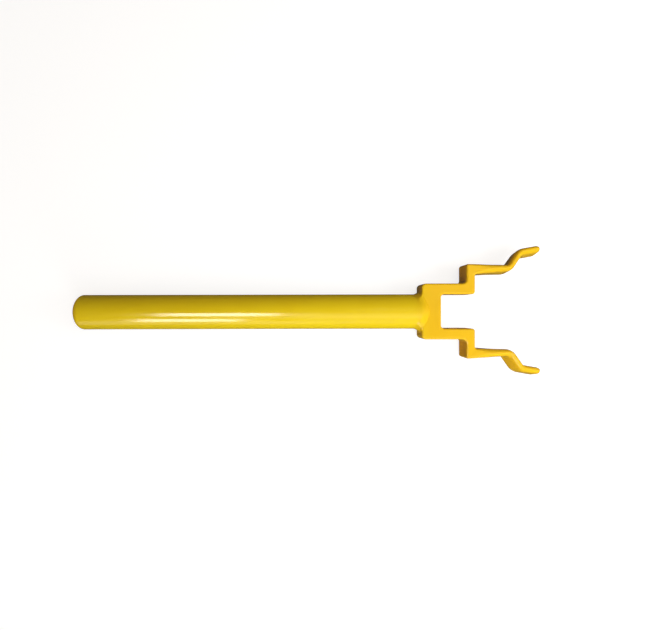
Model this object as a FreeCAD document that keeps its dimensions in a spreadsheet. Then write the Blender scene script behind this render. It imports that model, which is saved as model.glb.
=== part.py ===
import FreeCAD, Part
import math
import os
import Sketcher
from FreeCAD import Placement, Rotation, Vector

# Forked hydrant wrench: a capped steel tube welded to a stepped two-arm fork.
# Frame: the origin is the middle of the jaw floor, on the handle axis. +X runs
# to the finger tips, +Y to the left arm, +Z out of the fork's upper flat face.

SIZES = [
    ("tube_diameter", 33.7, "outside diameter of the handle tube"),
    ("tube_wall", 3.2, "wall of the handle tube"),
    ("tube_length", 325.5, "tube from the fork block to the cap weld"),
    ("weld_bevel", 2.0, "leg of each bevel that a ring weld fills"),
    ("cap_height", 8.0, "rise of the domed end cap"),
    ("spigot_length", 12.0, "how far cap and block reach into the tube"),
    ("spigot_clearance", 0.15, "gap all round between a spigot and the bore"),
    ("fork_depth", 25.4, "thickness of the fork along Z"),
    ("block_length", 18.5, "fork block from its rear face to the jaw floor"),
    ("block_corner", 3.9, "radius of the block's rear corners"),
    ("leg_seat", 1.5, "depth of the seat in the block that a leg's root weld fills"),
    ("jaw_gap", 33.0, "clear width of the small jaw"),
    ("jaw_corner", 3.2, "radius in the corners of the jaw floor"),
    ("leg_thickness", 10.3, "thickness of the inner legs"),
    ("leg_length", 24.3, "jaw floor to the rear face of the riser"),
    ("riser_thickness", 8.2, "thickness of the risers along X"),
    ("wide_gap", 72.3, "clear width between the fingers"),
    ("finger_thickness", 9.3, "thickness of a finger at its root"),
    ("knee_radius", 2.7, "outside radius where leg turns into riser"),
    ("knee_fillet", 4.0, "inside radius where leg turns into riser"),
    ("heel_radius", 2.3, "outside radius where riser turns into finger"),
    ("heel_fillet", 2.5, "inside radius where riser turns into finger"),
    ("edge_radius", 1.8, "rounding along the long edges of the fork"),
    ("root_gap", 1.5, "width of a fork weld at its narrow side"),
    ("finger_straight", 30.5, "finger from the riser to the first bend"),
    ("flare_angle", 55.0, "angle of the flare to the handle axis, in degrees"),
    ("flare_radius", 8.0, "centre line radius of the first bend"),
    ("flare_length", 11.1, "straight stretch of the flare"),
    ("tip_radius", 8.3, "centre line radius of the second bend"),
    ("tip_angle", 10.0, "angle of the tip to the handle axis, in degrees"),
    ("tip_length", 15.8, "straight stretch of the tip"),
    ("flare_thickness", 6.4, "thickness of the flare and the tip"),
    ("flare_edge", 2.6, "rounding along the long edges of the flare"),
    ("tip_depth", 21.0, "depth of the tip along Z"),
    ("tip_rounding", 4.7, "length over which the tip is rounded off"),
    ("flare_twist", 6.0, "twist of the finger at its first bend, in degrees"),
    ("tip_twist", 11.5, "twist of the finger at its tip, in degrees"),
    ("neck_fillet", 5.5, "leg of the weld beside the handle"),
    ("neck_rise", 0.4, "rise of the neck weld above the tube"),
    ("neck_ramp", 9.0, "length of the weld run out on the block's flats"),
]

doc = FreeCAD.newDocument("hydrant_wrench")
sheet = doc.addObject("Spreadsheet::Sheet", "Sizes")
for row, (alias, value, note) in enumerate(SIZES, start=1):
    sheet.set(f"A{row}", note)
    sheet.set(f"B{row}", str(value))
    sheet.setAlias(f"B{row}", alias)
doc.recompute()

# Formulas that several pieces share, in terms of the sheet's cells.
TUBE_R = "Sizes.tube_diameter / 2"
BORE_R = "(Sizes.tube_diameter / 2 - Sizes.tube_wall)"
SPIGOT_R = "(Sizes.tube_diameter / 2 - Sizes.tube_wall - Sizes.spigot_clearance)"
REAR_X = "-Sizes.block_length"
SEAT_X = "-Sizes.leg_seat"
CAP_X = "(-Sizes.block_length - Sizes.tube_length)"
LEG_IN = "Sizes.jaw_gap / 2"
LEG_OUT = "(Sizes.jaw_gap / 2 + Sizes.leg_thickness)"
RISER_REAR = "Sizes.leg_length"
RISER_FRONT = "(Sizes.leg_length + Sizes.riser_thickness)"
FINGER_IN = "Sizes.wide_gap / 2"
BLOCK_FLAT = "(Sizes.jaw_gap / 2 + Sizes.leg_thickness - Sizes.block_corner)"
NECK_LEG = f"min(Sizes.neck_fillet; {BLOCK_FLAT} - {TUBE_R})"
FLOOR_HALF = "(Sizes.jaw_gap / 2 - Sizes.jaw_corner)"
FINGER_OUT = "(Sizes.wide_gap / 2 + Sizes.finger_thickness)"
LOFT_X = "(Sizes.leg_length + Sizes.riser_thickness + Sizes.heel_fillet + Sizes.root_gap)"

OVERRUN = 10.0          # how far a cutting shape reaches past the metal
SPIGOT_BITE = 1.0       # how deep the block's spigot is sunk in it, to be one with it
RIM_COVER = 1.5         # the neck weld hides this many radii of the block's rounded rims
STRAIGHT_STEPS = 4      # steps along the straight part of a finger
ARC_STEPS = 5           # steps round each bend of a finger
TIP_FLAT = 0.35         # share of the thickness that is left at the very tip
TIP_BACKS = (1.0, 0.55, 0.25, 0.08, 0.0)    # sections of the rounded tip, as shares of its length
HALF_TURN = Rotation(Vector(1, 0, 0), 180)


def size(alias):
    """A driving dimension, read from the sheet."""
    return float(getattr(sheet, alias))


def plane(body, role):
    """One of a body's own origin planes or axes."""
    return next(item for item in body.Origin.OriginFeatures if item.Role == role)


def pin(sketch, geometry, point, x_formula, y_formula, name):
    """Tie a sketch point to the sketch origin with two formulas."""
    place = sketch.getPoint(geometry, point)
    for axis, letter, start, formula in (
        ("DistanceX", "x", place.x, x_formula),
        ("DistanceY", "y", place.y, y_formula),
    ):
        index = sketch.addConstraint(Sketcher.Constraint(axis, -1, 1, geometry, point, start))
        sketch.renameConstraint(index, f"{letter}_{name}")
        sketch.setExpression(f"Constraints.{letter}_{name}", formula)


def evaluate(formula):
    """The value of a formula at the sheet's present sizes."""
    return float(sheet.evalExpression(formula))


def draw_polygon(sketch, corners):
    """A closed outline whose corners are pairs of formulas."""
    points = [Vector(evaluate(x), evaluate(y), 0) for x, y in corners]
    count = len(points)
    for index in range(count):
        sketch.addGeometry(Part.LineSegment(points[index], points[(index + 1) % count]), False)
    for index in range(count):
        sketch.addConstraint(Sketcher.Constraint("Coincident", index, 2, (index + 1) % count, 1))
    for index, (x_formula, y_formula) in enumerate(corners):
        pin(sketch, index, 1, x_formula, y_formula, str(index))


def new_body(label):
    body = doc.addObject("PartDesign::Body", label)
    body.Label = label
    return body


def new_sketch(body, name, role):
    sketch = body.newObject("Sketcher::SketchObject", name)
    sketch.AttachmentSupport = [(plane(body, role), "")]
    sketch.MapMode = "FlatFace"
    return sketch


def revolve(body, name, sketch):
    """Turn a sketch of the XY plane all the way round the handle axis."""
    feature = body.newObject("PartDesign::Revolution", name)
    feature.Profile = (sketch, [""])
    feature.ReferenceAxis = (plane(body, "X_Axis"), [""])
    feature.Angle = 360
    return feature


def boolean(kind, label, base, tool):
    result = doc.addObject(f"Part::{kind}", label)
    result.Base = base
    result.Tool = tool
    result.Refine = True
    result.Label = label
    return result


def axial_cylinder(name, radius, start_x, length):
    """A cylinder on the handle axis that starts at start_x and runs along +X."""
    cylinder = doc.addObject("Part::Cylinder", name)
    cylinder.Placement = Placement(Vector(0, 0, 0), Rotation(Vector(0, 1, 0), 90))
    cylinder.setExpression("Radius", radius)
    cylinder.setExpression("Height", length)
    cylinder.setExpression("Placement.Base.x", start_x)
    return cylinder


# ---------------------------------------------------------------- handle tube
def make_handle_tube():
    body = new_body("handle_tube")
    sketch = new_sketch(body, "tube_section", "XY_Plane")
    draw_polygon(sketch, [
        (CAP_X, BORE_R),
        (REAR_X, BORE_R),
        (REAR_X, f"{TUBE_R} - Sizes.weld_bevel"),
        (f"{REAR_X} - {NECK_LEG}", TUBE_R),
        (f"{CAP_X} + Sizes.weld_bevel", TUBE_R),
        (CAP_X, f"{TUBE_R} - Sizes.weld_bevel"),
    ])
    revolve(body, "tube_turned", sketch)
    return body


# -------------------------------------------------------------- end of handle
def make_end_cap():
    dome = doc.addObject("Part::Ellipsoid", "cap_dome")
    dome.Placement = Placement(Vector(0, 0, 0), Rotation(Vector(0, 1, 0), -90))
    dome.setExpression("Radius1", "Sizes.cap_height")
    dome.setExpression("Radius2", TUBE_R)
    dome.Angle1 = 0
    dome.setExpression("Placement.Base.x", f"{CAP_X} - Sizes.weld_bevel")
    bevel = doc.addObject("Part::Cone", "cap_bevel")
    bevel.Placement = Placement(Vector(0, 0, 0), Rotation(Vector(0, 1, 0), 90))
    bevel.setExpression("Radius1", TUBE_R)
    bevel.setExpression("Radius2", f"{TUBE_R} - Sizes.weld_bevel")
    bevel.setExpression("Height", "Sizes.weld_bevel")
    bevel.setExpression("Placement.Base.x", f"{CAP_X} - Sizes.weld_bevel")
    spigot = axial_cylinder("cap_spigot", SPIGOT_R, CAP_X, "Sizes.spigot_length")
    cap = doc.addObject("Part::MultiFuse", "end_cap")
    cap.Shapes = [dome, bevel, spigot]
    cap.Refine = True
    return cap


def make_end_cap_weld():
    body = new_body("end_cap_weld")
    sketch = new_sketch(body, "cap_weld_section", "XY_Plane")
    draw_polygon(sketch, [
        (f"{CAP_X} - Sizes.weld_bevel", TUBE_R),
        (CAP_X, f"{TUBE_R} - Sizes.weld_bevel"),
        (f"{CAP_X} + Sizes.weld_bevel", TUBE_R),
    ])
    revolve(body, "cap_weld_turned", sketch)
    return body


# ------------------------------------------------- fork form, cut into pieces
def mirrored(corners):
    return [(x, f"-({y})") for x, y in reversed(corners)]


def edges_at(shape, corners):
    """Names of the upright edges that stand at the given corners."""
    places = [(evaluate(x), evaluate(y)) for x, y in corners]
    names = []
    for number, edge in enumerate(shape.Edges, start=1):
        first, last = edge.Vertexes[0].Point, edge.Vertexes[-1].Point
        if abs(first.x - last.x) > 1e-6 or abs(first.y - last.y) > 1e-6:
            continue
        if any(math.hypot(first.x - x, first.y - y) < 1e-4 for x, y in places):
            names.append(f"Edge{number}")
    return names


def rim_edges(shape, half_depth, end_x):
    """Names of the edges round both flat faces, without those at end_x."""
    names = []
    for number, edge in enumerate(shape.Edges, start=1):
        points = [vertex.Point for vertex in edge.Vertexes]
        on_face = all(abs(abs(point.z) - half_depth) < 1e-6 for point in points)
        flat = all(abs(point.z - points[0].z) < 1e-6 for point in points)
        at_end = all(abs(point.x - end_x) < 1e-6 for point in points)
        if on_face and flat and not at_end:
            names.append(f"Edge{number}")
    return names


def make_fork_form():
    """The outline of block, legs, risers and finger roots, as one solid."""
    body = new_body("fork_form")
    sketch = new_sketch(body, "fork_outline", "XY_Plane")
    knee_out = (RISER_FRONT, LEG_IN)
    knee_in = (RISER_REAR, LEG_OUT)
    heel_out = (RISER_REAR, FINGER_OUT)
    heel_in = (RISER_FRONT, FINGER_IN)
    floor = ("0", LEG_IN)
    rear = (REAR_X, LEG_OUT)
    left = [floor, knee_out, heel_in, (LOFT_X, FINGER_IN), (LOFT_X, FINGER_OUT), heel_out, knee_in, rear]
    draw_polygon(sketch, left + mirrored(left))
    pad = body.newObject("PartDesign::Pad", "fork_pad")
    pad.Profile = (sketch, [""])
    pad.SideType = "Symmetric"
    pad.setExpression("Length", "Sizes.fork_depth")
    doc.recompute()
    last = pad
    for name, alias, corner in (
        ("rear_corners", "block_corner", rear),
        ("floor_corners", "jaw_corner", floor),
        ("knee_corners", "knee_radius", knee_out),
        ("knee_fillets", "knee_fillet", knee_in),
        ("heel_corners", "heel_radius", heel_out),
        ("heel_fillets", "heel_fillet", heel_in),
    ):
        names = edges_at(last.Shape, [corner] + mirrored([corner]))
        fillet = body.newObject("PartDesign::Fillet", name)
        fillet.Base = (last, names)
        fillet.setExpression("Radius", f"Sizes.{alias}")
        doc.recompute()
        last = fillet
    rims = body.newObject("PartDesign::Fillet", "rims")
    rims.Base = (last, rim_edges(last.Shape, size("fork_depth") / 2, evaluate(LOFT_X)))
    rims.setExpression("Radius", "Sizes.edge_radius")
    doc.recompute()
    return body


def zone(name, corners):
    """An upright prism that is taller than the fork is deep."""
    sketch = doc.addObject("Sketcher::SketchObject", f"{name}_outline")
    draw_polygon(sketch, corners)
    prism = doc.addObject("Part::Extrusion", f"{name}_zone")
    prism.Base = sketch
    prism.DirMode = "Normal"
    prism.Solid = True
    prism.Symmetric = True
    prism.setExpression("LengthFwd", f"Sizes.fork_depth + {OVERRUN}")
    return prism


def arm_zones():
    """Outlines of the pieces of the left arm. Each weld is a V: it is as wide
    as the fillet at the inside of a corner and root_gap at the outside."""
    gap = "Sizes.root_gap"
    knee_x = f"{RISER_REAR} - Sizes.knee_fillet"
    knee_y = f"{LEG_OUT} + Sizes.knee_fillet"
    heel_x = f"{RISER_FRONT} + Sizes.heel_fillet"
    heel_y = f"{FINGER_IN} - Sizes.heel_fillet"
    floor = "Sizes.jaw_corner"
    return {
        "leg_root_weld": [
            (SEAT_X, FLOOR_HALF), (floor, FLOOR_HALF), (floor, LEG_IN),
            (gap, LEG_OUT), (gap, f"{LEG_OUT} + {OVERRUN}"), (SEAT_X, f"{LEG_OUT} + {OVERRUN}"),
        ],
        "inner_leg": [
            (floor, LEG_IN), (floor, f"{LEG_IN} - {OVERRUN}"),
            (f"{RISER_FRONT} - {gap}", f"{LEG_IN} - {OVERRUN}"), (f"{RISER_FRONT} - {gap}", LEG_IN),
            (knee_x, LEG_OUT), (knee_x, f"{LEG_OUT} + {OVERRUN}"),
            (gap, f"{LEG_OUT} + {OVERRUN}"), (gap, LEG_OUT),
        ],
        "knee_weld": [
            (knee_x, LEG_OUT), (f"{RISER_FRONT} - {gap}", LEG_IN),
            (f"{RISER_FRONT} - {gap}", f"{LEG_IN} - {OVERRUN}"),
            (f"{RISER_FRONT} + {OVERRUN}", f"{LEG_IN} - {OVERRUN}"),
            (f"{RISER_FRONT} + {OVERRUN}", f"{LEG_IN} + {gap}"), (RISER_FRONT, f"{LEG_IN} + {gap}"),
            (RISER_REAR, knee_y), (knee_x, knee_y),
        ],
        "riser": [
            (RISER_REAR, knee_y), (RISER_FRONT, f"{LEG_IN} + {gap}"),
            (f"{RISER_FRONT} + {OVERRUN}", f"{LEG_IN} + {gap}"), (f"{RISER_FRONT} + {OVERRUN}", heel_y),
            (RISER_FRONT, heel_y), (RISER_REAR, f"{FINGER_OUT} - {gap}"),
            (f"{RISER_REAR} - {OVERRUN}", f"{FINGER_OUT} - {gap}"), (f"{RISER_REAR} - {OVERRUN}", knee_y),
        ],
        "heel_weld": [
            (RISER_FRONT, heel_y), (heel_x, heel_y), (heel_x, FINGER_IN),
            (f"{RISER_REAR} + {gap}", FINGER_OUT), (f"{RISER_REAR} + {gap}", f"{FINGER_OUT} + {OVERRUN}"),
            (f"{RISER_REAR} - {OVERRUN}", f"{FINGER_OUT} + {OVERRUN}"),
            (f"{RISER_REAR} - {OVERRUN}", f"{FINGER_OUT} - {gap}"), (RISER_REAR, f"{FINGER_OUT} - {gap}"),
        ],
        "finger_root": [
            (heel_x, FINGER_IN), (heel_x, f"{FINGER_IN} - {OVERRUN}"),
            (LOFT_X, f"{FINGER_IN} - {OVERRUN}"), (LOFT_X, f"{FINGER_OUT} + {OVERRUN}"),
            (f"{RISER_REAR} + {gap}", f"{FINGER_OUT} + {OVERRUN}"), (f"{RISER_REAR} + {gap}", FINGER_OUT),
        ],
    }


# --------------------------------------------------------------------- finger
def finger_stations():
    """Stations along a finger: place, heading in degrees, how far the twist,
    the thinning and the rounding of the tip have gone at each."""
    start = evaluate(LOFT_X)
    bend = evaluate(RISER_FRONT) + size("finger_straight")
    middle = (evaluate(FINGER_IN) + evaluate(FINGER_OUT)) / 2
    flare = math.radians(size("flare_angle"))
    tip = math.radians(size("tip_angle"))
    path = []
    for step in range(STRAIGHT_STEPS + 1):
        path.append((start + (bend - start) * step / STRAIGHT_STEPS, middle, 0.0))

    def follow_arc(radius, first, last):
        x0, y0, _ = path[-1]
        sense = 1 if last > first else -1
        for step in range(1, ARC_STEPS + 1):
            heading = first + (last - first) * step / ARC_STEPS
            x = x0 + sense * radius * (math.sin(heading) - math.sin(first))
            y = y0 + sense * radius * (math.cos(first) - math.cos(heading))
            path.append((x, y, heading))

    def follow_line(heading, reaches):
        x0, y0, _ = path[-1]
        for reach in reaches:
            path.append((x0 + reach * math.cos(heading), y0 + reach * math.sin(heading), heading))

    rounding = size("tip_rounding")
    length = size("tip_length")
    tip_reaches = [(length - rounding) / 2]
    for share in TIP_BACKS:
        tip_reaches.append(length - rounding * share)
    follow_arc(size("flare_radius"), 0.0, flare)
    follow_line(flare, [size("flare_length")])
    follow_arc(size("tip_radius"), flare, tip)
    follow_line(tip, tip_reaches)

    runs = [0.0]
    for before, after in zip(path[:-1], path[1:]):
        runs.append(runs[-1] + math.hypot(after[0] - before[0], after[1] - before[1]))
    bend_run = runs[STRAIGHT_STEPS]
    end_run = runs[-1]
    stations = []
    for (x, y, heading), run in zip(path, runs):
        root_share = min(1.0, run / bend_run)
        tip_share = max(0.0, (run - bend_run) / (end_run - bend_run))
        inside = max(0.0, rounding - (end_run - run)) / rounding
        fullness = math.sqrt(max(0.0, 1.0 - inside ** 2))
        stations.append((x, y, math.degrees(heading), root_share, tip_share, fullness))
    return stations


def between(first, last, share):
    """A formula for a size part of the way from one size to another."""
    return f"Sizes.{first} + (Sizes.{last} - Sizes.{first}) * {share:.6f}"


def section_sketch(body, name, station):
    """A rounded rectangle across the finger, turned by the twist there."""
    x, y, heading, root_share, tip_share, fullness = station
    twist = size("flare_twist") * root_share
    twist += (size("tip_twist") - size("flare_twist")) * tip_share
    sketch = new_sketch(body, name, "YZ_Plane")
    turn = Rotation(Vector(0, 1, 0), heading).multiply(Rotation(Vector(0, 0, 1), -twist))
    sketch.AttachmentOffset = Placement(Vector(y, 0, x), turn)
    full = TIP_FLAT + (1 - TIP_FLAT) * fullness
    width = f"({between('finger_thickness', 'flare_thickness', root_share)}) * {full:.6f}"
    depth = f"{between('fork_depth', 'tip_depth', tip_share)} - 2 * Sizes.tip_rounding * {1 - fullness:.6f}"
    corner = f"({between('edge_radius', 'flare_edge', root_share)}) * {full:.6f}"
    rounded_rectangle(sketch, width, depth, corner)
    return sketch


def rounded_rectangle(sketch, width, depth, corner):
    a, b, r = evaluate(width) / 2, evaluate(depth) / 2, evaluate(corner)
    ends = [
        (Vector(a - r, b, 0), Vector(-a + r, b, 0)),
        (Vector(-a, b - r, 0), Vector(-a, -b + r, 0)),
        (Vector(-a + r, -b, 0), Vector(a - r, -b, 0)),
        (Vector(a, -b + r, 0), Vector(a, b - r, 0)),
    ]
    centres = [Vector(x, y, 0) for x, y in ((r - a, b - r), (r - a, r - b), (a - r, r - b), (a - r, b - r))]
    for first, last in ends:
        sketch.addGeometry(Part.LineSegment(first, last), False)
    for index, centre in enumerate(centres):
        start = math.pi / 2 * (index + 1)
        circle = Part.Circle(centre, Vector(0, 0, 1), r)
        sketch.addGeometry(Part.ArcOfCircle(circle, start, start + math.pi / 2), False)
    rules = []
    for index in range(4):
        rules.append(Sketcher.Constraint("Tangent", index, 2, 4 + index, 1))
        rules.append(Sketcher.Constraint("Tangent", 4 + index, 2, (index + 1) % 4, 1))
    rules.append(Sketcher.Constraint("Horizontal", 0))
    rules.append(Sketcher.Constraint("Vertical", 1))
    rules.append(Sketcher.Constraint("Horizontal", 2))
    rules.append(Sketcher.Constraint("Vertical", 3))
    for index in range(1, 4):
        rules.append(Sketcher.Constraint("Equal", 4, 4 + index))
    rules.append(Sketcher.Constraint("Symmetric", 0, 1, 2, 1, -1, 1))
    for rule in rules:
        sketch.addConstraint(rule)
    for kind, where, value, name, formula in (
        ("DistanceX", (1, 1, 3, 1), 2 * a, "width", width),
        ("DistanceY", (2, 1, 0, 1), 2 * b, "depth", depth),
        ("Radius", (4,), r, "corner", corner),
    ):
        index = sketch.addConstraint(Sketcher.Constraint(kind, *where, value))
        sketch.renameConstraint(index, name)
        sketch.setExpression(f"Constraints.{name}", formula)


def make_finger_blade():
    """The twisted, flared part of a finger, beyond its straight root."""
    body = new_body("finger_blade")
    stations = finger_stations()
    sketches = []
    for number, station in enumerate(stations):
        sketches.append(section_sketch(body, f"blade_section_{number}", station))
    loft = body.newObject("PartDesign::AdditiveLoft", "blade_loft")
    loft.Profile = (sketches[0], [""])
    loft.Sections = [(sketch, [""]) for sketch in sketches[1:]]
    loft.Ruled = True
    loft.Closed = False
    return body


# ----------------------------------------------------------------------- neck
def make_neck_weld(fork_block):
    """The weld between tube and block: it fills the bevel of the tube, has a
    hollow flank beside the tube and runs out in ramps on the block's flats."""
    body = new_body("neck_weld_form")
    hidden = f"Sizes.edge_radius * {RIM_COVER}"
    flank = new_sketch(body, "flank_section", "XY_Plane")
    toe = (f"{REAR_X} - {NECK_LEG}", TUBE_R)
    crown = (REAR_X, f"{TUBE_R} + {NECK_LEG}")
    centre = (f"{REAR_X} - {NECK_LEG}", f"{TUBE_R} + {NECK_LEG}")
    start = Vector(evaluate(toe[0]), evaluate(toe[1]), 0)
    end = Vector(evaluate(crown[0]), evaluate(crown[1]), 0)
    middle = Vector(evaluate(centre[0]), evaluate(centre[1]), 0)
    inner = evaluate(f"{REAR_X} + {hidden}")
    floor_r = evaluate(TUBE_R)
    circle = Part.Circle(middle, Vector(0, 0, 1), evaluate(NECK_LEG))
    flank.addGeometry(Part.ArcOfCircle(circle, -math.pi / 2, 0), False)
    flank.addGeometry(Part.LineSegment(end, Vector(inner, end.y, 0)), False)
    flank.addGeometry(Part.LineSegment(Vector(inner, end.y, 0), Vector(inner, floor_r, 0)), False)
    flank.addGeometry(Part.LineSegment(Vector(inner, floor_r, 0), start), False)
    for first, second in (((0, 2), (1, 1)), ((1, 2), (2, 1)), ((2, 2), (3, 1)), ((3, 2), (0, 1))):
        flank.addConstraint(Sketcher.Constraint("Coincident", *first, *second))
    pin(flank, 0, 3, *centre, "centre")
    pin(flank, 1, 1, *crown, "crown")
    pin(flank, 2, 2, f"{REAR_X} + {hidden}", TUBE_R, "floor")
    flank.addConstraint(Sketcher.Constraint("Vertical", 0, 3, 0, 1))
    flank.addConstraint(Sketcher.Constraint("Horizontal", 1))
    flank.addConstraint(Sketcher.Constraint("Vertical", 2))
    revolve(body, "flank_turned", flank)
    doc.recompute()

    trim = new_sketch(body, "trim_outline", "XZ_Plane")
    half = "Sizes.fork_depth / 2"
    reach = f"({TUBE_R} + {NECK_LEG} + {OVERRUN})"
    draw_polygon(trim, [
        (f"{REAR_X} - {OVERRUN}", half), (f"{REAR_X} + {OVERRUN}", half),
        (f"{REAR_X} + {OVERRUN}", reach), (f"{REAR_X} - {OVERRUN}", reach),
    ])
    other = new_sketch(body, "other_trim_outline", "XZ_Plane")
    draw_polygon(other, [
        (f"{REAR_X} - {OVERRUN}", f"-{half}"), (f"{REAR_X} + {OVERRUN}", f"-{half}"),
        (f"{REAR_X} + {OVERRUN}", f"-{reach}"), (f"{REAR_X} - {OVERRUN}", f"-{reach}"),
    ])
    for name, outline in (("trim_top", trim), ("trim_bottom", other)):
        pocket = body.newObject("PartDesign::Pocket", name)
        pocket.Profile = (outline, [""])
        pocket.SideType = "Symmetric"
        pocket.setExpression("Length", f"2 * {reach}")
        doc.recompute()

    ramp = new_sketch(body, "ramp_section", "XY_Plane")
    low = f"{half} - {hidden}"
    bead = f"{TUBE_R} + Sizes.neck_rise"
    draw_polygon(ramp, [
        toe, (f"{REAR_X} - {NECK_LEG} / 2", bead), (REAR_X, bead),
        (f"{REAR_X} + Sizes.neck_ramp", half), (f"{REAR_X} + Sizes.neck_ramp", low),
        (REAR_X, low), (REAR_X, f"{TUBE_R} - Sizes.weld_bevel"),
    ])
    revolve(body, "ramp_turned", ramp)
    doc.recompute()
    return boolean("Cut", "neck_weld", body, fork_block)


# ------------------------------------------------------------------- assembly
parts = [make_handle_tube(), make_end_cap(), make_end_cap_weld()]
fork_form = make_fork_form()

block_side = [
    ("0", FLOOR_HALF), (SEAT_X, FLOOR_HALF),
    (SEAT_X, f"{LEG_OUT} + {OVERRUN}"), (f"{REAR_X} - {OVERRUN}", f"{LEG_OUT} + {OVERRUN}"),
]
block_zone = zone("fork_block", block_side + mirrored(block_side))
block_metal = boolean("Common", "block_metal", fork_form, block_zone)
block_spigot = axial_cylinder(
    "block_spigot", SPIGOT_R, f"{REAR_X} - Sizes.spigot_length", f"Sizes.spigot_length + {SPIGOT_BITE}"
)
fork_block = boolean("Fuse", "fork_block", block_metal, block_spigot)
parts.append(fork_block)
parts.append(make_neck_weld(fork_block))

# The right arm is the left arm turned half round the handle axis, so that
# both fingers are twisted the same way, like the blades of a propeller.
zones = {piece: zone(piece, corners) for piece, corners in arm_zones().items()}
finger_root = boolean("Common", "finger_root", fork_form, zones.pop("finger_root"))
finger_blade = make_finger_blade()
for side, turn in (("left", Rotation()), ("right", HALF_TURN)):
    arm = [boolean("Common", f"{side}_{piece}", fork_form, prism) for piece, prism in zones.items()]
    arm.append(boolean("Fuse", f"{side}_finger", finger_root, finger_blade))
    for piece in arm:
        piece.Placement = Placement(Vector(0, 0, 0), turn)
    parts.extend(arm)

doc.recompute()

for item in doc.Objects:
    if "Invalid" in item.State or "Error" in item.State:
        raise RuntimeError(f"{item.Label} failed to build: {item.State}")
for part in parts:
    if part.Shape.isNull() or not part.Shape.isValid() or not part.Shape.Solids:
        raise RuntimeError(f"{part.Label} has no valid solid")

os.makedirs("parts", exist_ok=True)
for part in parts:
    part.Shape.exportStep(f"parts/{part.Label}.step")
    box = part.Shape.optimalBoundingBox()
    print(f"{part.Label:22s} volume {part.Shape.Volume:9.1f}  x {box.XMin:8.2f} {box.XMax:8.2f}")
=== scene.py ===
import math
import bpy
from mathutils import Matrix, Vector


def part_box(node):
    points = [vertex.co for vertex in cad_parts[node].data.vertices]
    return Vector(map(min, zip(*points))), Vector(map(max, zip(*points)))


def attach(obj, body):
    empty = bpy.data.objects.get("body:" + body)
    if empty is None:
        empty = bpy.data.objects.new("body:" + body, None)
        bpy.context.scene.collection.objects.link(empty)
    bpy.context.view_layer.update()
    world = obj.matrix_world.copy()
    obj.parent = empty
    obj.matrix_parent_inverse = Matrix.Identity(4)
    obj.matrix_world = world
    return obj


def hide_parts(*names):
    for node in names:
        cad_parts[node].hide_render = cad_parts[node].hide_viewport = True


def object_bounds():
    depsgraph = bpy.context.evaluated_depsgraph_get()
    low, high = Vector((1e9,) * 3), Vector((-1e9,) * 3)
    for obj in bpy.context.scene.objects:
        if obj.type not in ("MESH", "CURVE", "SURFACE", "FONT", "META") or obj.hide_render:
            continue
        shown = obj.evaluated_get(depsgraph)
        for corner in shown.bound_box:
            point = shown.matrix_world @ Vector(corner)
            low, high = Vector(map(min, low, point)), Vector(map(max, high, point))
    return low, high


bl_info = {
    "name": "Hydrant Wrench",
    "version": (1, 0, 0),
    "blender": (4, 5, 0),
    "location": "3D View > Sidebar > Hydrant Wrench",
    "description": "Powder coat, forged fingers and a studio for a forked hydrant wrench",
    "category": "Object",
}

import bmesh
import bpy
from bpy.props import FloatProperty, FloatVectorProperty, IntProperty, PointerProperty
from mathutils import Matrix, Vector

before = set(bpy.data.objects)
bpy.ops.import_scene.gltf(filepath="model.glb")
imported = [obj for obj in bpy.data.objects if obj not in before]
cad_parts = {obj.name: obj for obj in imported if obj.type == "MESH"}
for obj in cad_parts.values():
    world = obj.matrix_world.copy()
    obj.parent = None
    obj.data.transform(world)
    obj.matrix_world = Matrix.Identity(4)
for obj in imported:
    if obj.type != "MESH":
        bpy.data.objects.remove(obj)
CAD_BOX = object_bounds()

BODY = "root"
LEFT_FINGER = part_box("left_finger")
LEFT_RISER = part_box("left_riser")
LEFT_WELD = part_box("left_heel_weld")

HANDLE_NODES = ("handle_tube", "end_cap")
FORK_NODES = (
    "fork_block", "left_inner_leg", "left_riser", "right_inner_leg", "right_riser",
)
WELD_NODES = (
    "end_cap_weld", "neck_weld",
    "left_leg_root_weld", "left_knee_weld", "left_heel_weld",
    "right_leg_root_weld", "right_knee_weld", "right_heel_weld",
)

FORK_DEPTH = LEFT_FINGER[1].z - LEFT_FINGER[0].z
RISER_FRONT = LEFT_RISER[1].x
FINGER_IN = LEFT_FINGER[0].y
FINGER_OUT = LEFT_WELD[1].y
TUBE_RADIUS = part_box("handle_tube")[1].z
BLOCK_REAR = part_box("handle_tube")[1].x
NECK_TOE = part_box("neck_weld")[0].x


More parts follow.
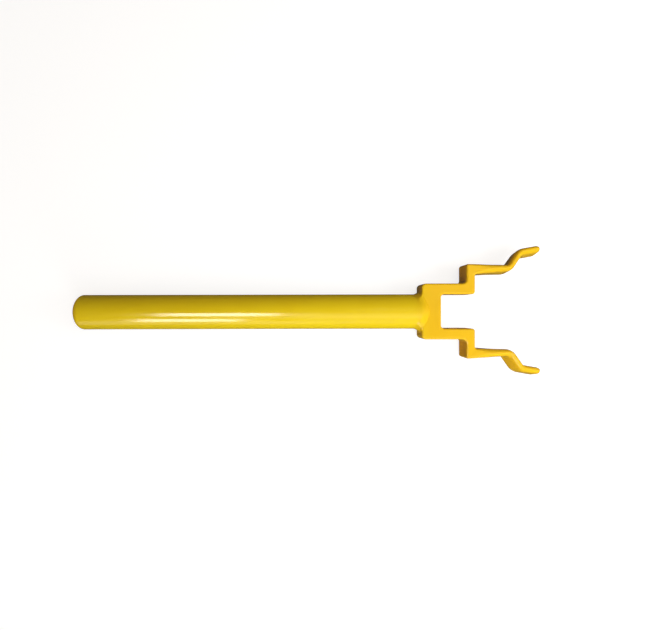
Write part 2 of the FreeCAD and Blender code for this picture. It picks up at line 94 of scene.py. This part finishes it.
# ------------------------------------------------------------------- settings
class WRENCH_PG_coat(bpy.types.PropertyGroup):
    handle_colour: FloatVectorProperty(
        name="Handle yellow", description="Powder coat on the handle tube",
        subtype="COLOR", size=3, min=0.0, max=1.0, default=(0.83, 0.61, 0.009))
    fork_colour: FloatVectorProperty(
        name="Fork yellow", description="Powder coat on the fork, a shade warmer",
        subtype="COLOR", size=3, min=0.0, max=1.0, default=(0.84, 0.505, 0.012))
    change_start: FloatProperty(
        name="Change start", description="Place along the wrench where the handle yellow starts to warm",
        subtype="DISTANCE", unit="LENGTH", min=-0.1, max=0.0, default=-0.030)
    change_end: FloatProperty(
        name="Change end", description="Place along the wrench where the fork yellow is reached",
        subtype="DISTANCE", unit="LENGTH", min=-0.1, max=0.05, default=-0.006)
    drift: FloatProperty(
        name="Colour drift", description="How far the yellow wanders where the film is thin or thick",
        subtype="FACTOR", min=0.0, max=1.0, default=0.35)
    drift_size: FloatProperty(
        name="Drift size", description="Width of one patch of colour drift",
        subtype="DISTANCE", unit="LENGTH", min=0.005, max=0.2, default=0.045)
    grain: FloatProperty(
        name="Grain", description="How much fine grain shows in the colour",
        subtype="FACTOR", min=0.0, max=1.0, default=0.08)
    grain_size: FloatProperty(
        name="Grain size", description="Width of one fleck of the grain",
        subtype="DISTANCE", unit="LENGTH", min=0.0002, max=0.01, default=0.0009)
    roughness: FloatProperty(
        name="Roughness", description="Gloss of the cured film, lower is glossier",
        subtype="FACTOR", min=0.0, max=1.0, default=0.14)
    peel_size: FloatProperty(
        name="Orange peel size", description="Width of one dimple of the orange peel",
        subtype="DISTANCE", unit="LENGTH", min=0.0003, max=0.01, default=0.0024)
    peel_height: FloatProperty(
        name="Orange peel height", description="Depth of the orange peel",
        subtype="DISTANCE", unit="LENGTH", min=0.0, max=0.0005, default=0.000008)


class WRENCH_PG_finger(bpy.types.PropertyGroup):
    straight: FloatProperty(
        name="Straight", description="Finger from the riser to the first bend",
        subtype="DISTANCE", unit="LENGTH", min=0.01, max=0.1, default=0.0305)
    root_thickness: FloatProperty(
        name="Root thickness", description="Thickness where the finger leaves the riser",
        subtype="DISTANCE", unit="LENGTH", min=0.004, max=0.02, default=0.0093)
    flare_thickness: FloatProperty(
        name="Flare thickness", description="Thickness of the flare and the tip",
        subtype="DISTANCE", unit="LENGTH", min=0.003, max=0.02, default=0.0068)
    flare_angle: FloatProperty(
        name="Flare angle", description="Angle of the flare to the handle axis",
        subtype="ANGLE", unit="ROTATION", min=0.2, max=1.4, default=math.radians(55.0))
    flare_radius: FloatProperty(
        name="First bend", description="Centre line radius of the first bend",
        subtype="DISTANCE", unit="LENGTH", min=0.003, max=0.03, default=0.008)
    flare_length: FloatProperty(
        name="Flare length", description="Straight stretch of the flare",
        subtype="DISTANCE", unit="LENGTH", min=0.002, max=0.05, default=0.0111)
    tip_radius: FloatProperty(
        name="Second bend", description="Centre line radius of the second bend",
        subtype="DISTANCE", unit="LENGTH", min=0.003, max=0.03, default=0.0083)
    tip_angle: FloatProperty(
        name="Tip angle", description="Angle of the tip to the handle axis",
        subtype="ANGLE", unit="ROTATION", min=0.0, max=1.0, default=math.radians(10.0))
    tip_length: FloatProperty(
        name="Tip length", description="Straight stretch of the tip",
        subtype="DISTANCE", unit="LENGTH", min=0.005, max=0.05, default=0.0158)
    tip_depth: FloatProperty(
        name="Tip depth", description="Depth of the tip, across the fork",
        subtype="DISTANCE", unit="LENGTH", min=0.01, max=0.04, default=0.021)
    tip_rounding: FloatProperty(
        name="Tip rounding", description="Length over which the tip is rounded off",
        subtype="DISTANCE", unit="LENGTH", min=0.001, max=0.01, default=0.0038)
    root_edge: FloatProperty(
        name="Root edge", description="Rounding of the long edges at the root",
        subtype="DISTANCE", unit="LENGTH", min=0.0005, max=0.004, default=0.0018)
    forged_edge: FloatProperty(
        name="Forged edge",
        description="Rounding of the long edges beyond the root, as a share of the thickness",
        subtype="FACTOR", min=0.1, max=0.49, default=0.46)
    crown: FloatProperty(
        name="Crown", description="How far the forged rounding of the long edges reaches over the depth",
        subtype="DISTANCE", unit="LENGTH", min=0.001, max=0.012, default=0.0065)
    edge_run: FloatProperty(
        name="Edge run", description="Length over which the edges go from crisp to forged round",
        subtype="DISTANCE", unit="LENGTH", min=0.002, max=0.03, default=0.014)
    slant_run: FloatProperty(
        name="Slant run", description="Length over which the slanted root section squares up",
        subtype="DISTANCE", unit="LENGTH", min=0.002, max=0.03, default=0.012)
    flare_twist: FloatProperty(
        name="Flare twist", description="Twist of the finger at its first bend",
        subtype="ANGLE", unit="ROTATION", min=0.0, max=0.6, default=math.radians(6.0))
    tip_twist: FloatProperty(
        name="Tip twist", description="Twist of the finger at its tip",
        subtype="ANGLE", unit="ROTATION", min=0.0, max=0.6, default=math.radians(11.5))
    ring_points: IntProperty(
        name="Ring points", description="Points round one section of the finger, a multiple of four",
        min=16, max=96, default=48)


class WRENCH_PG_neck(bpy.types.PropertyGroup):
    flank_leg: FloatProperty(
        name="Flank leg", description="Leg of the hollow fillet beside the handle",
        subtype="DISTANCE", unit="LENGTH", min=0.002, max=0.01, default=0.0055)
    crest_start: FloatProperty(
        name="Crest start", description="Distance behind the jaw floor where the crest starts to sink",
        subtype="DISTANCE", unit="LENGTH", min=0.005, max=0.03, default=0.0205)
    crest_end: FloatProperty(
        name="Crest end", description="Distance behind the jaw floor where the crest has sunk away",
        subtype="DISTANCE", unit="LENGTH", min=0.002, max=0.02, default=0.0085)
    crest_drop: FloatProperty(
        name="Crest drop", description="How deep the crest sinks by its end",
        subtype="DISTANCE", unit="LENGTH", min=0.004, max=0.012, default=0.008)
    softness: FloatProperty(
        name="Softness", description="Width of the blend between the handle, the flanks and the flats",
        subtype="DISTANCE", unit="LENGTH", min=0.0005, max=0.006, default=0.0035)
    swell: FloatProperty(
        name="Swell", description="How far the neck swells over the handle",
        subtype="DISTANCE", unit="LENGTH", min=0.0, max=0.001, default=0.0003)
    ring_points: IntProperty(
        name="Ring points", description="Points round one section of the neck",
        min=32, max=256, default=160)


class WRENCH_PG_studio(bpy.types.PropertyGroup):
    floor_colour: FloatVectorProperty(
        name="Floor", description="Colour of the pale studio floor",
        subtype="COLOR", size=3, min=0.0, max=1.0, default=(0.35, 0.35, 0.35))
    floor_glow: FloatProperty(
        name="Floor glow", description="Light of the floor itself, which keeps its shadows faint",
        min=0.0, max=2.0, default=0.80)
    floor_size: FloatProperty(
        name="Floor size", description="Width of the floor",
        subtype="DISTANCE", unit="LENGTH", min=1.0, max=20.0, default=8.0)
    camera_place: FloatVectorProperty(
        name="Camera place", description="Where the camera hangs over the wrench",
        subtype="TRANSLATION", unit="LENGTH", size=3, default=(-0.11360, 0.00018, 0.42489))
    camera_tilt: FloatVectorProperty(
        name="Camera tilt", description="The camera's small lean away from straight down",
        subtype="EULER", unit="ROTATION", size=3, default=(-0.00808, -0.00577, -0.00218))
    camera_lens: FloatProperty(
        name="Lens", description="Focal length on a 36 mm wide sensor, in millimetres",
        min=10.0, max=200.0, default=23.94)


# ------------------------------------------------------------------ materials
THIN_FILM = Vector((0.94, 0.88, 0.6))       # tint where the coat is thin
THICK_FILM = Vector((1.05, 1.08, 1.4))      # tint where the coat is thick


def powder_coat(name, coat):
    """Glossy cured powder: lemon on the handle and a shade warmer on the fork, with
    a slow drift of the yellow, a faint grain and orange peel."""
    material = bpy.data.materials.new(name)
    material.use_nodes = True
    tree = material.node_tree
    tree.nodes.clear()
    link = tree.links.new

    def node(kind, **sockets):
        made = tree.nodes.new(kind)
        for socket, value in sockets.items():
            made.inputs[socket.replace("_", " ")].default_value = value
        return made

    def colour_mix(mode, first, second):
        made = tree.nodes.new("ShaderNodeMix")
        made.data_type = "RGBA"
        made.blend_type = mode
        sockets = {socket.name: socket for socket in made.inputs if socket.type == "RGBA"}
        for name, value in (("A", first), ("B", second)):
            if isinstance(value, bpy.types.NodeSocket):
                link(value, sockets[name])
            else:
                sockets[name].default_value = (*value, 1.0)
        return made, next(socket for socket in made.outputs if socket.type == "RGBA")

    output = node("ShaderNodeOutputMaterial")
    shader = node("ShaderNodeBsdfPrincipled", IOR=1.5)
    place = node("ShaderNodeTexCoord")
    link(shader.outputs["BSDF"], output.inputs["Surface"])

    along = node("ShaderNodeSeparateXYZ")
    change = node("ShaderNodeMapRange", From_Min=coat.change_start, From_Max=coat.change_end)
    change.interpolation_type = "SMOOTHSTEP"
    link(place.outputs["Object"], along.inputs["Vector"])
    link(along.outputs["X"], change.inputs["Value"])
    yellow, yellow_out = colour_mix("MIX", coat.handle_colour, coat.fork_colour)
    link(change.outputs["Result"], yellow.inputs["Factor"])

    drift = node("ShaderNodeTexNoise", Scale=1.0 / coat.drift_size, Detail=3.0, Roughness=0.5)
    grain = node("ShaderNodeTexNoise", Scale=1.0 / coat.grain_size, Detail=2.0, Roughness=0.6)
    blend = node("ShaderNodeMix", Factor=coat.grain)
    blend.data_type = "FLOAT"
    link(place.outputs["Object"], drift.inputs["Vector"])
    link(place.outputs["Object"], grain.inputs["Vector"])
    link(drift.outputs["Fac"], blend.inputs["A"])
    link(grain.outputs["Fac"], blend.inputs["B"])
    film = tree.nodes.new("ShaderNodeValToRGB")
    even = Vector((1.0, 1.0, 1.0))
    for stop, place_at, tint in (
        (film.color_ramp.elements[0], 0.32, THIN_FILM),
        (film.color_ramp.elements[1], 0.68, THICK_FILM),
    ):
        stop.position = place_at
        stop.color = (*even.lerp(tint, coat.drift), 1.0)
    link(blend.outputs["Result"], film.inputs["Fac"])
    cured, cured_out = colour_mix("MULTIPLY", yellow_out, film.outputs["Color"])
    cured.inputs["Factor"].default_value = 1.0
    link(cured_out, shader.inputs["Base Color"])

    gloss = node("ShaderNodeMapRange", From_Min=0.3, From_Max=0.7,
                 To_Min=coat.roughness * 0.85, To_Max=coat.roughness * 1.15)
    link(drift.outputs["Fac"], gloss.inputs["Value"])
    link(gloss.outputs["Result"], shader.inputs["Roughness"])

    peel = node("ShaderNodeTexNoise", Scale=1.0 / coat.peel_size, Detail=1.0, Roughness=0.4)
    swell = node("ShaderNodeTexNoise", Scale=0.18 / coat.peel_size, Detail=1.0, Roughness=0.4)
    link(place.outputs["Object"], peel.inputs["Vector"])
    link(place.outputs["Object"], swell.inputs["Vector"])
    waves = node("ShaderNodeBump", Strength=1.0, Distance=coat.peel_height * 4.0)
    dimples = node("ShaderNodeBump", Strength=1.0, Distance=coat.peel_height)
    link(swell.outputs["Fac"], waves.inputs["Height"])
    link(peel.outputs["Fac"], dimples.inputs["Height"])
    link(waves.outputs["Normal"], dimples.inputs["Normal"])
    link(dimples.outputs["Normal"], shader.inputs["Normal"])
    return material


def yellow_coat():
    """The powder coat, made once and shared by all the pieces."""
    name = "yellow_powder_coat"
    return bpy.data.materials.get(name) or powder_coat(name, bpy.context.scene.wrench_coat)


def wear(piece, material):
    """Give every material slot of a CAD node the same coat."""
    for number in range(len(piece.material_slots)):
        piece.material_slots[number].link = "OBJECT"
        piece.material_slots[number].material = material


# --------------------------------------------------------------------- finger
TIP_END = 0.45          # share of the thickness left at the very end of a tip


def finger_line(finger, start):
    """Stations along a finger: place, heading and the length run so far."""
    line = [(Vector((start, 0.0)), 0.0, 0.0)]

    def run_on(step, heading):
        place, _, run = line[-1]
        middle = (line[-1][1] + heading) / 2.0
        ahead = Vector((math.cos(middle), math.sin(middle)))
        line.append((place + step * ahead, heading, run + step))

    def straight(length, steps):
        for _ in range(steps):
            run_on(length / steps, line[-1][1])

    def bend(radius, last, steps):
        first = line[-1][1]
        turn = (last - first) / steps
        chord = 2.0 * radius * math.sin(abs(turn) / 2.0)
        for step in range(1, steps + 1):
            run_on(chord, first + turn * step)

    straight(RISER_FRONT + finger.straight - start, 16)
    bend_run = line[-1][2]
    bend(finger.flare_radius, finger.flare_angle, 10)
    straight(finger.flare_length, 6)
    bend(finger.tip_radius, finger.tip_angle, 10)
    straight(finger.tip_length - finger.tip_rounding, 5)
    for step in range(1, 9):
        angle = math.pi / 2.0 * step / 8.0
        last = math.pi / 2.0 * (step - 1) / 8.0
        run_on(finger.tip_rounding * (math.sin(angle) - math.sin(last)), line[-1][1])
    return line, bend_run


def rounded_section(points, thickness, depth, edge, crown):
    """Places round a bar's section, one for each point of a ring. The rounding of its
    edges reaches one length over the thickness and another, the crown, over the depth."""
    edge = min(edge, thickness * 0.499)
    crown = min(crown, depth * 0.499)
    half_t, half_d = thickness / 2.0 - edge, depth / 2.0 - crown
    quarter = points // 4
    arc_points = quarter * 2 // 3
    places = []
    for side in range(4):
        across = Vector(((-half_t, half_d), (-half_t, -half_d), (half_t, -half_d), (half_t, half_d))[side])
        onward = Vector(((-half_t, -half_d), (half_t, -half_d), (half_t, half_d), (-half_t, half_d))[side])
        first = math.pi / 2.0 * (side + 1)
        for step in range(arc_points + 1):
            angle = first + math.pi / 2.0 * step / arc_points
            places.append(across + Vector((edge * math.cos(angle), crown * math.sin(angle))))
        tail = places[-1]
        angle = first + math.pi / 2.0
        head = onward + Vector((edge * math.cos(angle), crown * math.sin(angle)))
        for step in range(1, quarter - arc_points):
            places.append(tail.lerp(head, step / (quarter - arc_points)))
    return places


def smooth_share(share):
    share = min(1.0, max(0.0, share))
    return share * share * (3.0 - 2.0 * share)


def forge_finger(mesh, finger):
    """Draw a finger out of its root ring: extrude the ring along the finger and
    dress each new ring to the thickness, depth, twist and edge it has there."""
    start = LEFT_WELD[1].x
    middle = (FINGER_IN + FINGER_OUT) / 2.0
    slant = (LEFT_FINGER[0].x - start) / (FINGER_OUT - FINGER_IN)
    line, bend_run = finger_line(finger, start)
    end_run = line[-1][2]
    ring = bmesh.ops.create_circle(mesh, segments=finger.ring_points, radius=0.005)["verts"]
    bmesh.ops.contextual_create(mesh, geom=ring)
    crisp_ends = ring_edges(ring)

    for number, (place, heading, run) in enumerate(line):
        if number:
            edges = ring_edges(ring)
            made = bmesh.ops.extrude_edge_only(mesh, edges=edges)["geom"]
            ring = follow_ring(ring, [item for item in made if isinstance(item, bmesh.types.BMVert)])
        to_bend = min(1.0, run / bend_run)
        to_tip = max(0.0, (run - bend_run) / (end_run - bend_run))
        from_end = max(0.0, finger.tip_rounding - (end_run - run)) / finger.tip_rounding
        full = math.sqrt(max(0.0, 1.0 - from_end ** 2))
        thickness = finger.root_thickness + (finger.flare_thickness - finger.root_thickness) * to_bend
        depth = FORK_DEPTH + (finger.tip_depth - FORK_DEPTH) * to_tip
        forged = thickness * finger.forged_edge
        forging = smooth_share(run / finger.edge_run)
        edge = finger.root_edge + (forged - finger.root_edge) * forging
        crown = finger.root_edge + (finger.crown - finger.root_edge) * forging * full
        crown = max(crown, edge)
        thickness *= TIP_END + (1.0 - TIP_END) * full
        depth -= 2.0 * finger.tip_rounding * (1.0 - full)
        twist = finger.flare_twist * to_bend + (finger.tip_twist - finger.flare_twist) * to_tip
        turn = Matrix.Rotation(-twist, 3, "X")
        turn = Matrix.Rotation(heading, 3, "Z") @ turn
        centre = Vector((place.x, middle + place.y, 0.0))
        lean = slant * max(0.0, 1.0 - run / finger.slant_run)
        for vert, (across, up) in zip(ring, rounded_section(len(ring), thickness, depth, edge, crown)):
            vert.co = centre + turn @ Vector((lean * (across + thickness / 2.0), across, up))
    bmesh.ops.contextual_create(mesh, geom=ring)
    for edge in crisp_ends:
        edge.smooth = False


def soft_max(first, second, width):
    """The larger of two lengths, with a rounded change from one to the other."""
    overlap = max(0.0, 1.0 - abs(first - second) / width)
    return max(first, second) + width * overlap * overlap / 4.0


def soft_min(first, second, width):
    return -soft_max(-first, -second, width)


SINK = 0.00002          # how far a blended skin lies under the metal it runs into
NECK_STEP = 0.0004      # distance between two sections of the neck
NECK_OVERRUN = 0.0005   # how far the neck runs on past the end of its crest
FLANK_FALL = 1.6        # slope of the flank once it is inside the block
BLEND_RUN = 0.003       # length over which the blend grows from the toe


def neck_reach(neck, x, angle):
    """Distance from the handle axis to the skin of the neck, at one angle round it."""
    half_depth = FORK_DEPTH / 2.0
    sunk = min(1.0, max(0.0, (x + neck.crest_start) / (neck.crest_start - neck.crest_end)))
    swelling = math.sin(math.pi * min(1.0, max(0.0, (x - NECK_TOE) / (-neck.crest_end - NECK_TOE))))
    crest = TUBE_RADIUS + neck.swell * swelling - neck.crest_drop * sunk * sunk
    if x <= BLOCK_REAR:
        up_flank = min(1.0, (x - NECK_TOE) / neck.flank_leg)
        flank = TUBE_RADIUS + neck.flank_leg * (1.0 - math.sqrt(max(0.0, 1.0 - up_flank ** 2)))
    else:
        flank = TUBE_RADIUS + neck.flank_leg - FLANK_FALL * (x - BLOCK_REAR)
    flat = half_depth / max(0.05, abs(math.sin(angle)))
    shoulder = soft_min(flank, flat, neck.softness * 0.6)
    if shoulder <= crest - neck.softness:
        return crest - SINK
    return soft_max(crest, shoulder, neck.softness * min(1.0, (x - NECK_TOE) / BLEND_RUN)) - SINK


def blend_neck(mesh, neck):
    """Draw the neck out of a ring on the handle: one smooth skin from tube to fork."""
    steps = math.ceil((-neck.crest_end + NECK_OVERRUN - NECK_TOE) / NECK_STEP)
    count = neck.ring_points
    ring = bmesh.ops.create_circle(mesh, segments=count, radius=TUBE_RADIUS)["verts"]
    bmesh.ops.contextual_create(mesh, geom=ring)
    crisp_ends = ring_edges(ring)
    for step in range(steps + 1):
        if step:
            made = bmesh.ops.extrude_edge_only(mesh, edges=ring_edges(ring))["geom"]
            ring = follow_ring(ring, [item for item in made if isinstance(item, bmesh.types.BMVert)])
        x = NECK_TOE + SINK + NECK_STEP * step
        for number, vert in enumerate(ring):
            angle = 2.0 * math.pi * number / count
            reach = neck_reach(neck, x, angle)
            vert.co = (x, reach * math.cos(angle), reach * math.sin(angle))
    bmesh.ops.contextual_create(mesh, geom=ring)
    for edge in crisp_ends + ring_edges(ring):
        edge.smooth = False


def ring_edges(ring):
    edges = []
    for first, second in zip(ring, ring[1:] + ring[:1]):
        edges.append(next(edge for edge in first.link_edges if edge.other_vert(first) == second))
    return edges


def follow_ring(ring, fresh):
    """The new ring in the order of the old one."""
    fresh = set(fresh)
    return [next(edge.other_vert(vert) for edge in vert.link_edges if edge.other_vert(vert) in fresh)
            for vert in ring]


def finish_piece(mesh, name, material, nodes):
    """Turn a bmesh into a piece that stands for CAD nodes."""
    data = bpy.data.meshes.new(name)
    bmesh.ops.recalc_face_normals(mesh, faces=mesh.faces)
    mesh.to_mesh(data)
    mesh.free()
    data.materials.append(material)
    piece = bpy.data.objects.new(name, data)
    bpy.context.scene.collection.objects.link(piece)
    data.shade_smooth()
    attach(piece, BODY)
    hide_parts(*nodes)
    return piece


# ------------------------------------------------------------------ operators
class WRENCH_OT_coat_nodes(bpy.types.Operator):
    """Give the pieces that keep their own shape their powder coat"""
    bl_idname = "wrench.coat_nodes"
    bl_label = "Coat Handle, Fork and Welds"

    def execute(self, context):
        for name in HANDLE_NODES + FORK_NODES + WELD_NODES:
            wear(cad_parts[name], yellow_coat())
        return {"FINISHED"}


class WRENCH_OT_forge_fingers(bpy.types.Operator):
    """Forge the two smooth twisted fingers"""
    bl_idname = "wrench.forge_fingers"
    bl_label = "Forge Fingers"

    def execute(self, context):
        finger = context.scene.wrench_finger
        for side, turn in (("left", 0.0), ("right", math.pi)):
            mesh = bmesh.new()
            forge_finger(mesh, finger)
            bmesh.ops.rotate(mesh, verts=mesh.verts, matrix=Matrix.Rotation(turn, 3, "X"))
            finish_piece(mesh, f"{side}_forged_finger", yellow_coat(), [f"{side}_finger"])
        return {"FINISHED"}


class WRENCH_OT_blend_neck(bpy.types.Operator):
    """Blend the handle into the fork with one smooth skin over the neck weld"""
    bl_idname = "wrench.blend_neck"
    bl_label = "Blend Neck"

    def execute(self, context):
        mesh = bmesh.new()
        blend_neck(mesh, context.scene.wrench_neck)
        finish_piece(mesh, "neck_skin", yellow_coat(), ["neck_weld"])
        return {"FINISHED"}


class WRENCH_OT_studio(bpy.types.Operator):
    """Set up the pale floor, the soft lights and the camera"""
    bl_idname = "wrench.studio"
    bl_label = "Set Up Studio"

    def execute(self, context):
        studio = context.scene.wrench_studio
        lay_floor(studio)
        hang_lights()
        fill_air()
        hang_camera(studio)
        context.scene.view_settings.view_transform = "Standard"
        return {"FINISHED"}


# --------------------------------------------------------------------- studio
def lay_floor(studio):
    mesh = bmesh.new()
    bmesh.ops.create_grid(mesh, x_segments=1, y_segments=1, size=studio.floor_size / 2.0)
    bmesh.ops.translate(mesh, verts=mesh.verts, vec=(0.0, 0.0, CAD_BOX[0][2]))
    data = bpy.data.meshes.new("floor")
    mesh.to_mesh(data)
    mesh.free()
    material = bpy.data.materials.new("floor_paper")
    material.use_nodes = True
    shader = material.node_tree.nodes["Principled BSDF"]
    shader.inputs["Base Color"].default_value = (*studio.floor_colour, 1.0)
    shader.inputs["Roughness"].default_value = 0.9
    shader.inputs["Specular IOR Level"].default_value = 0.0
    shader.inputs["Emission Color"].default_value = (1.0, 1.0, 1.0, 1.0)
    shader.inputs["Emission Strength"].default_value = studio.floor_glow
    data.materials.append(material)
    floor = bpy.data.objects.new("floor", data)
    bpy.context.scene.collection.objects.link(floor)
    floor.visible_glossy = False
    floor.visible_diffuse = False


WHITE = (1.0, 1.0, 1.0)
WARM = (1.0, 0.62, 0.22)
# Each light: name, place, width and height in metres, watts, the point it is aimed
# at, its colour, whether it lights the paint, and whether the paint's gloss mirrors it.
LIGHTS = (
    ("front_box", (0.0, -0.44, 0.44), 0.3, 0.3, 0.9, (0.0, 0.0, 0.0), WHITE, True, False),
    ("front_low_box", (0.0, -0.6, 0.16), 0.3, 0.3, 2.0, (0.0, 0.0, 0.0), WHITE, True, False),
    ("fork_box", (0.44, -0.05, 0.44), 0.3, 0.3, 1.5, (0.0, 0.0, 0.0), WHITE, True, False),
    ("corner_box", (0.3, -0.3, 0.45), 0.3, 0.3, 0.5, (0.0, 0.0, 0.0), WHITE, True, False),
    ("left_low_box", (-1.3, -0.1, 0.12), 0.6, 0.2, 4.2, (-0.12, 0.0, 0.0), WARM, True, False),
    ("right_low_box", (1.05, 0.0, 0.25), 0.6, 0.6, 2.2, (-0.12, 0.0, 0.0), WHITE, True, False),
    ("back_box", (0.35, 0.8, 0.75), 0.6, 0.6, 2.0, (-0.12, 0.0, 0.0), WARM, True, False),
    ("over_box", (0.12, 0.12, 0.6), 0.3, 0.3, 0.85, (-0.03, 0.0, 0.0), WHITE, True, False),
    ("top_box", (0.0, -0.6, 1.15), 1.2, 0.8, 2.4, (0.0, 0.0, 0.0), WHITE, True, True),
    ("side_box", (-0.6, -0.95, 0.22), 0.9, 0.5, 1.4, (-0.25, 0.0, 0.0), WHITE, False, True),
    ("near_window", (-0.45, -0.32, 0.965), 0.37, 0.34, 5.0, (-0.2, 0.0, 0.0), WHITE, False, True),
    ("far_window", (-0.54, -0.84, 0.54), 0.32, 0.37, 3.8, (-0.2, 0.0, 0.0), WHITE, False, True),
)
AIR_LIGHT = 0.06        # light that comes from all round
AIR_SHADE = 0.80        # pale backdrop seen past the edge of the floor


def hang_lights():
    for name, place, width, height, power, target, colour, lighting, mirrored in LIGHTS:
        data = bpy.data.lights.new(name, "AREA")
        data.shape = "RECTANGLE"
        data.size = width
        data.size_y = height
        data.energy = power
        data.color = colour
        lamp = bpy.data.objects.new(name, data)
        lamp.visible_diffuse = lighting
        lamp.visible_glossy = mirrored
        aim = (Vector(target) - Vector(place)).normalized()
        side = Vector((1.0, 0.0, 0.0))
        up = (-aim).cross(side).normalized()
        side = up.cross(-aim)
        lamp.matrix_world = Matrix.Translation(place) @ Matrix((side, up, -aim)).transposed().to_4x4()
        bpy.context.scene.collection.objects.link(lamp)


def fill_air():
    """Faint light from all round, and a pale backdrop where only air is seen."""
    world = bpy.data.worlds.new("studio_air")
    world.use_nodes = True
    tree = world.node_tree
    backdrop = tree.nodes.new("ShaderNodeMapRange")
    backdrop.inputs["To Min"].default_value = AIR_LIGHT
    backdrop.inputs["To Max"].default_value = AIR_SHADE
    seen = tree.nodes.new("ShaderNodeLightPath")
    tree.links.new(seen.outputs["Is Camera Ray"], backdrop.inputs["Value"])
    tree.nodes["Background"].inputs["Color"].default_value = (1.0, 1.0, 1.0, 1.0)
    tree.links.new(backdrop.outputs["Result"], tree.nodes["Background"].inputs["Strength"])
    bpy.context.scene.world = world


def hang_camera(studio):
    data = bpy.data.cameras.new("camera")
    data.sensor_width = 36.0
    data.lens = studio.camera_lens
    data.clip_start = 0.01
    camera = bpy.data.objects.new("camera", data)
    camera.rotation_mode = "ZYX"
    camera.location = studio.camera_place
    camera.rotation_euler = studio.camera_tilt
    bpy.context.scene.collection.objects.link(camera)
    bpy.context.scene.camera = camera


# ---------------------------------------------------------------------- panel
class WRENCH_PT_panel(bpy.types.Panel):
    bl_label = "Hydrant Wrench"
    bl_idname = "WRENCH_PT_panel"
    bl_space_type = "VIEW_3D"
    bl_region_type = "UI"
    bl_category = "Hydrant Wrench"

    def draw(self, context):
        layout = self.layout
        for title, group, operators in (
            ("Powder coat", "wrench_coat", (WRENCH_OT_coat_nodes,)),
            ("Fingers", "wrench_finger", (WRENCH_OT_forge_fingers,)),
            ("Neck", "wrench_neck", (WRENCH_OT_blend_neck,)),
            ("Studio", "wrench_studio", (WRENCH_OT_studio,)),
        ):
            box = layout.box()
            box.label(text=title)
            settings = getattr(context.scene, group)
            for name in settings.__annotations__:
                box.prop(settings, name)
            for operator in operators:
                box.operator(operator.bl_idname)


CLASSES = (
    WRENCH_PG_coat, WRENCH_PG_finger, WRENCH_PG_neck, WRENCH_PG_studio,
    WRENCH_OT_coat_nodes, WRENCH_OT_forge_fingers, WRENCH_OT_blend_neck, WRENCH_OT_studio,
    WRENCH_PT_panel,
)


def register():
    for item in CLASSES:
        bpy.utils.register_class(item)
    bpy.types.Scene.wrench_coat = PointerProperty(type=WRENCH_PG_coat)
    bpy.types.Scene.wrench_finger = PointerProperty(type=WRENCH_PG_finger)
    bpy.types.Scene.wrench_neck = PointerProperty(type=WRENCH_PG_neck)
    bpy.types.Scene.wrench_studio = PointerProperty(type=WRENCH_PG_studio)


def unregister():
    del bpy.types.Scene.wrench_studio
    del bpy.types.Scene.wrench_neck
    del bpy.types.Scene.wrench_finger
    del bpy.types.Scene.wrench_coat
    for item in reversed(CLASSES):
        bpy.utils.unregister_class(item)


def main():
    register()
    bpy.ops.wrench.coat_nodes()
    bpy.ops.wrench.forge_fingers()
    bpy.ops.wrench.blend_neck()
    bpy.ops.wrench.studio()


if __name__ == "__main__":
    main()
